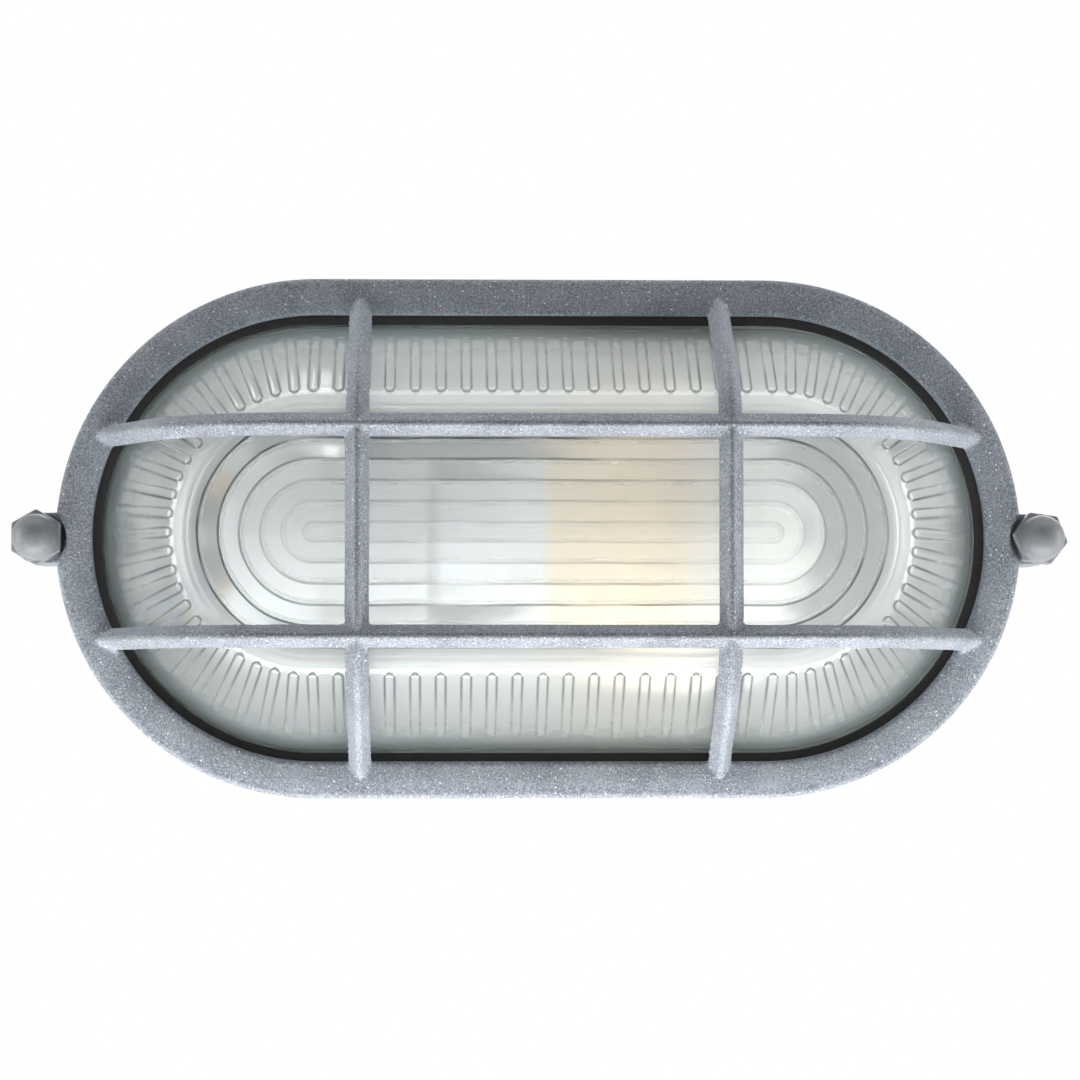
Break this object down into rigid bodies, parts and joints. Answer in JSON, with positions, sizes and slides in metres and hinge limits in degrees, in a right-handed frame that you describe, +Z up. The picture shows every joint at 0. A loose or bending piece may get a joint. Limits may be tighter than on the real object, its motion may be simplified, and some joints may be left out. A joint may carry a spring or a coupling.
{
  "type": "bulkhead lamp",
  "caption": "Oval bulkhead lamp in grey cast metal with a ribbed glass, a barred guard and a bulb inside.",
  "frame": {"origin": "middle of the flat back of the housing, which lies on the wall or ceiling", "axes": "+X along the lamp, to the right as seen from the front; +Z up the wall; +Y into the wall, so the glass faces -Y"},
  "size_m": [0.2299, 0.091, 0.113],
  "materials": {
    "cast_paint": "grey sparkle paint on cast aluminium, satin",
    "clear_glass": "clear pressed glass with a faint green tint",
    "black_rubber": "matt black rubber",
    "zinc_steel": "zinc plated",
    "white_enamel": "white stove enamel",
    "porcelain": "white glazed porcelain",
    "nickel": "nickel plated",
    "brass": "plain brass",
    "opal_bulb": "warm opal globe on a white collar",
    "brown_wire": "brown wire insulation",
    "blue_wire": "blue wire insulation",
    "earth_wire": "green and yellow wire insulation"
  },
  "bodies": {
    "root": {"block_screw_lower": "zinc_steel", "block_screw_upper": "zinc_steel", "bracket_screw_front": "zinc_steel", "bracket_screw_rear": "zinc_steel", "bulb": "opal_bulb", "cable_grommet": "black_rubber", "cap_nut_left": "cast_paint", "cap_nut_right": "cast_paint", "centre_contact": "brass", "earth_lug": "brass", "earth_pole_screw": "brass", "earth_screw": "zinc_steel", "earth_wire": "earth_wire", "gasket": "black_rubber", "glass_cover": "clear_glass", "guard_frame": "cast_paint", "holder_screw_lower": "zinc_steel", "holder_screw_upper": "zinc_steel", "housing": "cast_paint", "lampholder_body": "porcelain", "lampholder_bracket": "zinc_steel", "lampholder_shell": "nickel", "live_pole_screw": "brass", "live_terminal": "brass", "live_wire": "brown_wire", "neutral_pole_screw": "brass", "neutral_terminal": "brass", "neutral_wire": "blue_wire", "reflector": "white_enamel", "reflector_screw_left": "zinc_steel", "reflector_screw_right": "zinc_steel", "stud_left": "zinc_steel", "stud_right": "zinc_steel", "terminal_block": "porcelain"}
  },
  "joints": []
}
